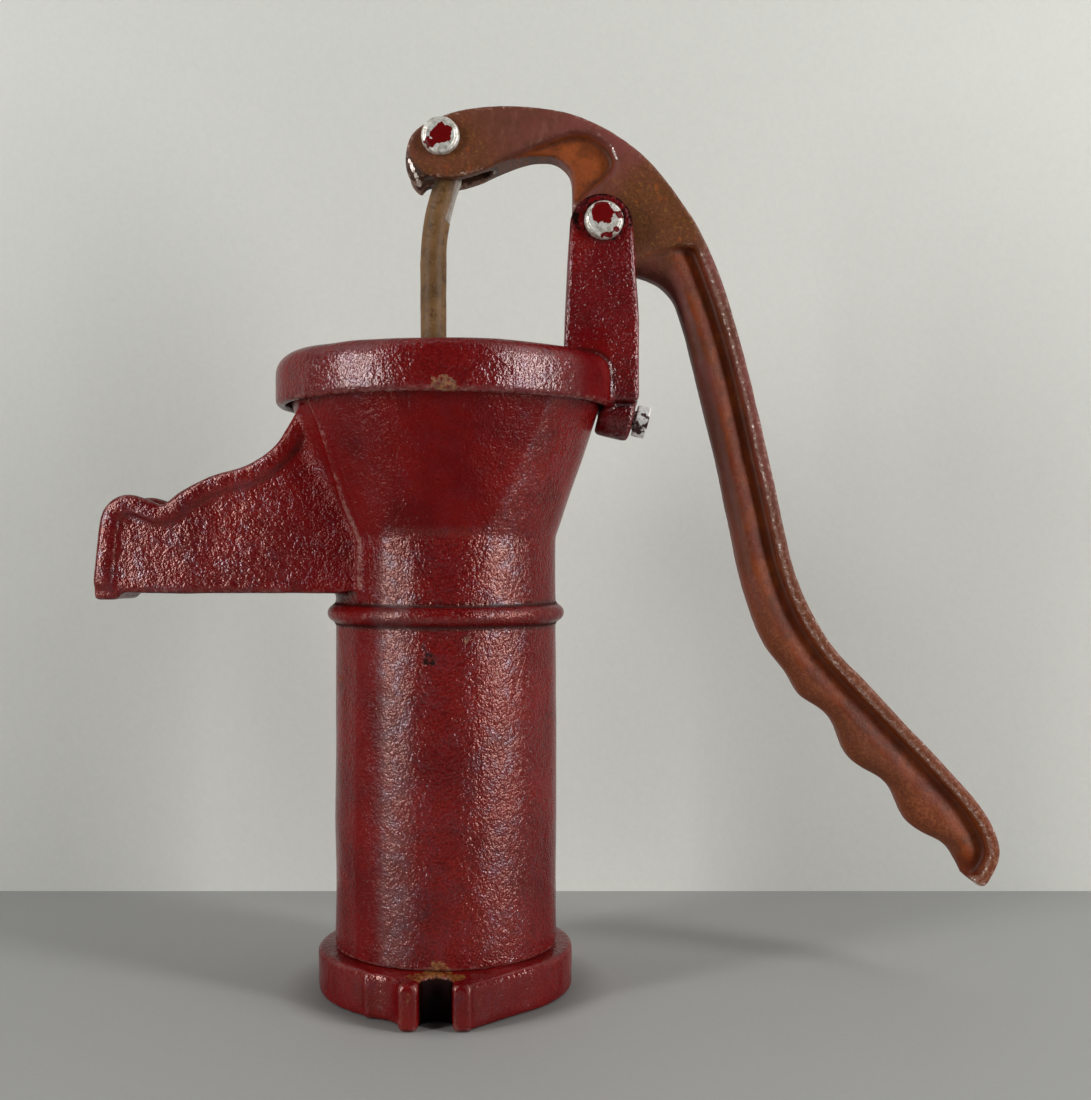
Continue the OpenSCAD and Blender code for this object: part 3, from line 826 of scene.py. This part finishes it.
def worn_screw(name):
    """Hexagon head rubbed bright by spanners, with dark paint left between the rubs."""
    f = Finish(name, 9.0)
    dark = f.step(f.noise(4.2, 4, 0.6), 0.52, 0.58)
    steel = f.mix(f.step(f.noise(1.4, 4, 0.7), 0.3, 0.5), srgb(186, 182, 176), srgb(250, 249, 246))
    colour = f.mix(dark, steel, f.mix(f.noise(1.5, 3), srgb(30, 10, 10), srgb(70, 26, 22)))
    rough = f.blend(dark, 0.34, 0.5)
    normal = f.bump(f.plus(dark, f.noise(0.9, 3)), 0.06)
    return f.finish(colour, rough, f.fade(dark, 0.45, 0.0), normal)


def bare_iron(name):
    """Wet-stained bare casting inside the pump."""
    f = Finish(name, 11.0)
    stain = f.step(f.noise(9, 5, 0.65), 0.42, 0.62)
    colour = f.mix(stain, srgb(62, 58, 58), srgb(96, 62, 42))
    colour = f.coat(colour, f.step(f.attribute("bend"), 0.2, 0.5), 0.6, srgb(150, 146, 142))
    normal = f.bump(f.plus(f.noise(1.6, 4, 0.65), f.cells(2.0)), 0.18)
    return f.finish(colour, f.blend(stain, 0.42, 0.72), f.blend(stain, 0.6, 0.1), normal)


def oiled_leather(name):
    """Thick valve leather, dark with oil and water."""
    f = Finish(name, 13.0)
    grain = f.cells(0.9)
    colour = f.mix(f.step(f.noise(14, 4), 0.35, 0.65), srgb(92, 58, 32), srgb(132, 90, 54))
    colour = f.mix(f.times(f.step(grain, 0.1, 0.5), 0.35), srgb(64, 38, 20), colour)
    colour = f.coat(colour, f.step(f.attribute("bend"), 0.2, 0.5), 0.4, srgb(168, 124, 82))
    normal = f.bump(f.plus(grain, f.noise(3, 3)), 0.12)
    return f.finish(colour, f.line(grain, 0, 0.6, 0.62, 0.42), 0.0, normal)


def dull_brass(name):
    """Valve brass, tarnished brown with a green tinge in the hollows."""
    f = Finish(name, 15.0)
    tarnish = f.step(f.noise(8, 5, 0.6), 0.4, 0.66)
    colour = f.mix(tarnish, srgb(190, 150, 84), srgb(120, 88, 46))
    colour = f.coat(colour, f.step(f.attribute("bend"), -0.1, -0.4), 0.6, srgb(74, 86, 62))
    normal = f.bump(f.noise(1.2, 4, 0.6), 0.05)
    return f.finish(colour, f.blend(tarnish, 0.26, 0.46), 0.95, normal)


# ---------- the pieces ----------

def place(piece, body, slot, material, *nodes):
    """Gives a piece its material and body, and lets it stand in for CAD nodes."""
    piece.data.materials.append(material)
    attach(piece, body)
    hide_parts(*nodes)


def body_of_node(node):
    """The body that a CAD node moves with."""
    groups = frame["record"]["behaviour"]["bodies"]
    return next(body for body, members in groups.items() if node in members)


CASTING_LUMPS = [(26, 0.30), (9, 0.14)]
WARM_SHINE = (1.0, 0.58, 0.50, 1.0)
NEUTRAL_SHINE = (1.0, 0.80, 0.78, 1.0)


def off_the_floor(points):
    """0 at the underside, which is flat, and 1 above it."""
    return smoothstep(points[:, 2], 0.5, 3)


def outside_the_bore(points):
    """0 in the machined bore, and 1 on the casting's outside."""
    return smoothstep(np.hypot(points[:, 0], points[:, 1]), BORE_R + 1, BORE_R + 4)


def cast(node, field, material, seed, rust=(), stain_and_shade=(), keep_smooth=None):
    """A lumpy enamelled casting; its rust chips and dark stains are given as lists of spots, each (x, y, z,
    radius).

    The grain is rougher above the cap's skirt and on its lugs. There are no lumps where keep_smooth is 0.
    """
    piece = surface(node + "_casting", field, CASTING_LUMPS, keep_smooth, seed)
    points = points_of(piece)
    set_attribute(piece, "rust", 0.75 * blots(points, rust))
    set_attribute(piece, "stain_and_shade", 0.65 * blots(points, stain_and_shade))
    above_skirt = smoothstep(points[:, 2], SKIRT_TOP, SKIRT_TOP + 4)
    on_lugs = np.maximum(above_skirt, smoothstep(points[:, 0], LUG_START_X, LUG_START_X + 4))
    set_attribute(piece, "pebble", 1 + 0.55 * on_lugs)
    place(piece, body_of_node(node), "red_enamel", material, node)
    return piece


def build_barrel():
    """The barrel: dull on its flare, scuffed along the spout's ridge, with a painted grey reflection left of its
    middle.
    """
    # The crevices give painted shade in the grooves just above and below the bead.
    enamel = red_enamel("red_enamel_barrel", 0.0, 1.0, WARM_SHINE, (BEAD_Z - 4.1, BEAD_Z + 4.1))
    barrel = cast("barrel", barrel_field(), enamel, 11,
                  rust=[(0, -46, 19, 4.0), (11.6, -45, 147, 1.6)],
                  stain_and_shade=[(-3, -46, 139, 3.2), (-6, -46, 144, 2.0)], keep_smooth=outside_the_bore)
    points = points_of(barrel)
    x, y, z = points.T
    side, from_ridge = spout_side(x, y), to_ridge(x, y, z)
    left_of_middle = smoothstep(x, -20, -24)
    on_flare = smoothstep(z, FLARE_START + 1, FLARE_START + 5) * smoothstep(side, 1, 4)
    beside_ridge = smoothstep(from_ridge, 26, 10) * smoothstep(side, -2, 0) * left_of_middle
    set_attribute(barrel, "dull", np.maximum(on_flare, beside_ridge))
    set_attribute(barrel, "outer", outside_the_bore(points))
    # Painted reflection: an upright grey streak left of the middle, below the flare.
    sheen_turn = -23
    turn = np.degrees(np.arctan2(x, -y))
    streak = smoothstep(np.abs(turn - sheen_turn), 13, 5) * smoothstep(z, FLARE_START, FLARE_START - 20)
    set_attribute(barrel, "painted_sheen", streak * (y < 0))
    along_ridge = 0.95 * smoothstep(from_ridge, 1.2, 0.5) * smoothstep(z, SPOUT_FLOOR, SPOUT_FLOOR + 4)
    bottom_edge = 0.55 * smoothstep(z, 20.4, 19.2)
    set_attribute(barrel, "scuffed", np.maximum(along_ridge * left_of_middle, bottom_edge))
    set_attribute(barrel, "pebble", 1 - 0.35 * smoothstep(x, -50, -60))


def build_cap():
    """The cap: painted shade round the top of its lugs, darker round the pin's head, scuffed along its skirt's
    edge.
    """
    enamel = red_enamel("red_enamel_cap", 0.37, 0.8, NEUTRAL_SHINE)
    cap = cast("cap", soft_copy("cap", 0.8, 3, 0.4), enamel, 21,
               rust=[(4.4, -70.5, 242, 4.6), (1, -70.5, 243, 2.4)], stain_and_shade=[(4.4, -70.5, 249, 2.2)])
    x, y, z = points_of(cap).T
    from_pin = np.hypot(x - FULCRUM[0], z - FULCRUM[2])
    # Painted shade along the top edge of the lugs, and darker in a ring just round the pin's head.
    lug_top_shade = smoothstep(from_pin, 9.0, 10.4) * smoothstep(z, 308, 314)
    pin_ring = smoothstep(from_pin, 10.5, 8.6) * (y < 0)
    set_attribute(cap, "stain_and_shade", np.maximum(0.68 * lug_top_shade, 0.6 * pin_ring))
    beside_lug = smoothstep(x, 52, 58) * smoothstep(x, 69, 66) * (z < 272) * (y < 0)
    set_attribute(cap, "dull", np.maximum(beside_lug, smoothstep(z, 304, 312)))
    set_attribute(cap, "scuffed", 0.6 * smoothstep(z, 242.4, 241.0) * (x < 60))


def build_base():
    """The base: rusty round the front bolt slot, with painted shade inside both slots."""
    enamel = red_enamel("red_enamel_base", 0.71, 0.55, WARM_SHINE)
    base = cast("base", soft_copy("base", 0.8, 4, 0.4), enamel, 31,
                rust=[(0, -48, 18, 6.5), (8, -52, 18, 4.0), (-8, -52, 18, 4.0)], keep_smooth=off_the_floor)
    x, y, z = points_of(base).T
    in_slot = smoothstep(np.abs(x), 6.9, 6.0) * smoothstep(np.abs(y), 62, 58)
    # Painted shade inside both slots.
    set_attribute(base, "stain_and_shade", in_slot * smoothstep(z, 18.0, 16.2))


def build_handle():
    """The handle: rusty in its hollows, brown round the boss and nose, scraped bright in two places."""
    field, shape = handle_field()
    piece = surface("handle_casting", field, [(24, 0.28), (7, 0.12)], seed=41)
    points = points_of(piece)
    x, y, z = points.T
    valley = spread(field, shape.panel * (1 - smoothstep(shape.rim_edge, 12, 19)), points)
    pocket = spread(field, shape.pocket, points)
    set_attribute(piece, "sunk", np.maximum(valley, pocket))
    set_attribute(piece, "pocket", pocket)
    boss, nose = (88, 322), (2, 343)
    near_boss = smoothstep(np.hypot(x - boss[0], z - boss[1]), 30, 12)
    near_nose = smoothstep(np.hypot(x - nose[0], z - nose[1]), 30, 10)
    set_attribute(piece, "olive", np.maximum(near_boss, 0.8 * near_nose))
    set_attribute(piece, "warm", smoothstep(z, 215, 140))
    from_nose = np.hypot(x - NOSE[0], z - NOSE[1])
    nose_bevel_shade = smoothstep(from_nose, 15.2, 16.4) * (x < NOSE_END_X) * (z < NOSE[1] + 0.5)
    in_fork = (np.abs(y) < 6.4) * (x < 22) * (z > FORK_LOW_Z)
    # Painted shade on the nose's bevel and inside the fork.
    set_attribute(piece, "stain_and_shade", 0.75 * np.maximum(nose_bevel_shade, in_fork))
    nose_streak = line_mask(points, (-14.6, 342.0), (-10.4, 333.0), 1.3) * (np.abs(y) > 6)
    pocket_end = line_mask(points, (68.6, 348.4), (71.0, 342.6), 0.7) * (np.abs(y) > 8)
    set_attribute(piece, "scraped", np.maximum(nose_streak, pocket_end))
    place(piece, "handle", "rusty_iron", rusty_handle("rusty_handle"), "handle")


def build_pin(node, centre, seed, spots):
    """A pin with a shallow groove inside its head's rim; spots are what is left of its paint."""
    field = soft_copy(node, 0.36, 2)
    x, y, z = field.xyz()
    head_face = node_box(node)[0][1]
    groove_r, groove_in, groove_half = 6.4, 0.75, 0.2
    from_axis = np.hypot(x - centre[0], z - centre[2])
    field.cut(np.sqrt((from_axis - groove_r)**2 + (y - head_face - groove_in)**2) - groove_half)
    piece = surface(node + "_turned", field, [(3.5, 0.10), (1.4, 0.04)], seed=seed)
    points = points_of(piece)
    head_thick = 4.2
    head = points[:, 1] < head_face + head_thick
    on_face = np.stack([points[:, 0] - centre[0], np.zeros(len(points)), points[:, 2] - centre[2]], 1)
    paint = blots(on_face, [(dx, 0, dz, radius) for dx, dz, radius in spots])
    set_attribute(piece, "paint", np.where(head, paint, 0.0))
    place(piece, body_of_node(node), "pin_steel", pin_metal(node + "_steel", seed * 0.1), node)


def build_rod():
    """The plunger rod, rubbed bright near its upper end."""
    field = soft_copy("plunger_rod", 0.5, 2)
    piece = surface("plunger_rod_bar", field, [(14, 0.14), (4, 0.06)], seed=51)
    points = points_of(piece)
    rubbed = line_mask(points, (6.4, 336), (1.8, 320), 2.3)
    set_attribute(piece, "shine", rubbed * (points[:, 1] < 0))
    place(piece, "rod", "rod_steel", rod_rust("rod_rust"), "plunger_rod")


def build_small_parts():
    """Nuts, washers, cotters and the parts inside the barrel."""
    steel, iron = pin_metal("small_steel", 2.0), bare_iron("bare_iron")
    leather, brass = oiled_leather("oiled_leather"), dull_brass("dull_brass")
    table = [
        ("set_screw", 0.30, 1, "pin_steel", worn_screw("worn_screw")),
        ("fulcrum_washer", 0.35, 1, "pin_steel", steel),
        ("fulcrum_cotter", 0.25, 1, "pin_steel", steel),
        ("rod_pin_washer", 0.35, 1, "pin_steel", steel),
        ("rod_pin_cotter", 0.25, 1, "pin_steel", steel),
        ("rod_upper_nut", 0.35, 1, "pin_steel", steel),
        ("rod_lower_nut", 0.35, 1, "pin_steel", steel),
        ("rod_washers", 0.35, 1, "pin_steel", steel),
        ("plunger_cage", 0.8, 2, "bare_iron", iron),
        ("cup_leather", 0.7, 1, "leather", leather),
        ("plunger_follower", 0.8, 2, "bare_iron", iron),
        ("poppet_valve", 0.6, 1, "brass", brass),
        ("valve_leather", 0.7, 1, "leather", leather),
        ("valve_flap", 0.7, 1, "leather", leather),
        ("valve_weight", 0.6, 2, "bare_iron", iron),
        ("valve_washer", 0.4, 1, "brass", brass),
        ("valve_screw", 0.3, 1, "brass", brass),
    ]
    for seed, (node, step, passes, slot, material) in enumerate(table):
        piece = surface(node + "_part", soft_copy(node, step, passes), [(5, 0.02)], seed=60 + seed)
        place(piece, body_of_node(node), slot, material, node)


# ---------- the studio ----------

STUDIO_GREY = srgb(186, 186, 181)
LIGHT_AIM = Vector((0.0, 0.0, 0.2))
# Each soft box: its name, its place, its width and height, and its watts.
LIGHTS = (
    ("left_box", (-1.09, -0.73, 0.50), (0.22, 1.0), 13.0),
    ("right_box", (1.10, -0.62, 0.50), (0.22, 1.0), 14.0),
    ("upper_left", (-0.9, -0.20, 1.5), (0.7, 0.8), 2.5),
    ("upper_right", (1.0, -0.20, 1.5), (0.7, 0.8), 4.0),
)


def darker(colour, share):
    """The colour with its light cut to a share."""
    return tuple(c * share for c in colour[:3]) + (1,)


def pale_wall():
    """Pale paper, seen only from in front, so that it never hides the pump in a view from behind."""
    paper = srgb(206, 206, 200)
    f = Finish("studio_wall")
    grain = f.times(f.plus(f.noise(400, 2), f.noise(2.5, 3, 0.7)), 0.5)
    f.finish(f.mix(f.step(grain, 0.3, 0.7), paper, darker(paper, 0.94)), 0.8)
    mix = f.node("ShaderNodeMixShader")
    f.put(mix.inputs[0], f.node("ShaderNodeNewGeometry").outputs["Backfacing"])
    f.put(mix.inputs[1], f.shader.outputs[0])
    f.put(mix.inputs[2], f.node("ShaderNodeBsdfTransparent").outputs[0])
    f.put(f.out.inputs[0], mix.outputs[0])
    return f.material


def only_seen(f, amount):
    """Adds light that the camera sees but that lights nothing, so that the far studio stays pale."""
    seen = f.times(f.node("ShaderNodeLightPath").outputs["Is Camera Ray"], amount)
    f.put(f.shader.inputs["Emission Color"], STUDIO_GREY)
    f.put(f.shader.inputs["Emission Strength"], seen)


def pale_floor():
    """Grey cloth with a painted shadow close round the foot, and a painted glow, seen only by the camera, that
    keeps it pale far away.
    """
    cloth = srgb(160, 160, 157)
    f = Finish("studio_floor")
    distance = f.node("ShaderNodeVectorMath", operation="LENGTH")
    f.put(distance.inputs[0], f.raw_place)
    away = distance.outputs["Value"]
    colour = f.mix(f.noise(2.5, 3, 0.7), cloth, darker(cloth, 0.92))
    # Painted contact shadow close round the pump's foot.
    foot_shadow = f.times(f.step(away, 0.072, 0.052), 0.5)
    f.finish(f.mix(foot_shadow, colour, srgb(70, 70, 68)), 0.7)
    # Painted glow far away, seen only by the camera.
    only_seen(f, f.step(away, 0.5, 1.8))
    return f.material


def sheet(name, corners, material):
    """A flat studio surface from four corners in metres."""
    piece = make_mesh(name, np.array(corners, float) / MM, np.array([[0, 1, 2, 3]]), smooth=False)
    piece.data.materials.append(material)


def soft_light(name, place, size, power):
    """A soft box that faces the middle of the pump."""
    data = bpy.data.lights.new(name, "AREA")
    data.shape = "RECTANGLE"
    data.size, data.size_y = size
    data.energy = power
    lamp = bpy.data.objects.new(name, data)
    lamp.location = place
    lamp.rotation_euler = (LIGHT_AIM - Vector(place)).to_track_quat("-Z", "Y").to_euler()
    bpy.context.scene.collection.objects.link(lamp)


def build_world():
    """Dim light from all round, which the camera sees as pale grey."""
    world = bpy.data.worlds.new("studio")
    world.use_nodes = True
    tree = world.node_tree
    dim = tree.nodes["Background"]
    dim.inputs["Color"].default_value = (0.9, 0.95, 1.0, 1)
    dim.inputs["Strength"].default_value = 0.04
    pale = tree.nodes.new("ShaderNodeBackground")
    pale.inputs["Color"].default_value = STUDIO_GREY
    mix = tree.nodes.new("ShaderNodeMixShader")
    tree.links.new(tree.nodes.new("ShaderNodeLightPath").outputs["Is Camera Ray"], mix.inputs[0])
    tree.links.new(dim.outputs[0], mix.inputs[1])
    tree.links.new(pale.outputs[0], mix.inputs[2])
    tree.links.new(mix.outputs[0], tree.nodes["World Output"].inputs[0])
    bpy.context.scene.world = world
    bpy.context.scene.view_settings.view_transform = "Standard"


def build_studio():
    """Cloth floor, paper wall close behind the pump, and the lights."""
    half, wall_y, wall_low, wall_high = 4.0, 0.159, -0.01, 3.0
    sheet("floor", [(-half, -half, 0), (half, -half, 0), (half, half, 0), (-half, half, 0)], pale_floor())
    sheet("wall", [(-half, wall_y, wall_high), (-half, wall_y, wall_low),
                   (half, wall_y, wall_low), (half, wall_y, wall_high)], pale_wall())
    build_world()
    for light in LIGHTS:
        soft_light(*light)


def build_camera():
    """The camera as fitted to the photo: level, and square to the side of the pump."""
    data = bpy.data.cameras.new("photo_angle")
    data.sensor_width = 36
    data.lens = 45.82
    data.shift_y = 0.0023
    camera = bpy.data.objects.new("photo_angle", data)
    camera.location = (0.0416, -0.588, 0.1806)
    camera.rotation_euler = (math.pi / 2, 0, 0)
    bpy.context.scene.collection.objects.link(camera)
    bpy.context.scene.camera = camera


build_barrel()
build_cap()
build_base()
build_handle()
build_rod()
build_pin("rod_pin", ROD_PIN, 4, [(0.4, 0.3, 4.2), (-4.6, -3.6, 2.2)])
build_pin("fulcrum_pin", FULCRUM, 7, [(-0.8, 2.6, 4.3), (1.2, -0.6, 1.6), (6.4, 1.8, 1.3),
                                   (4.9, -4.2, 0.9), (3.3, -5.5, 0.8), (1.4, -6.3, 0.9), (-0.8, -6.4, 0.7)])
build_small_parts()
build_studio()
build_camera()
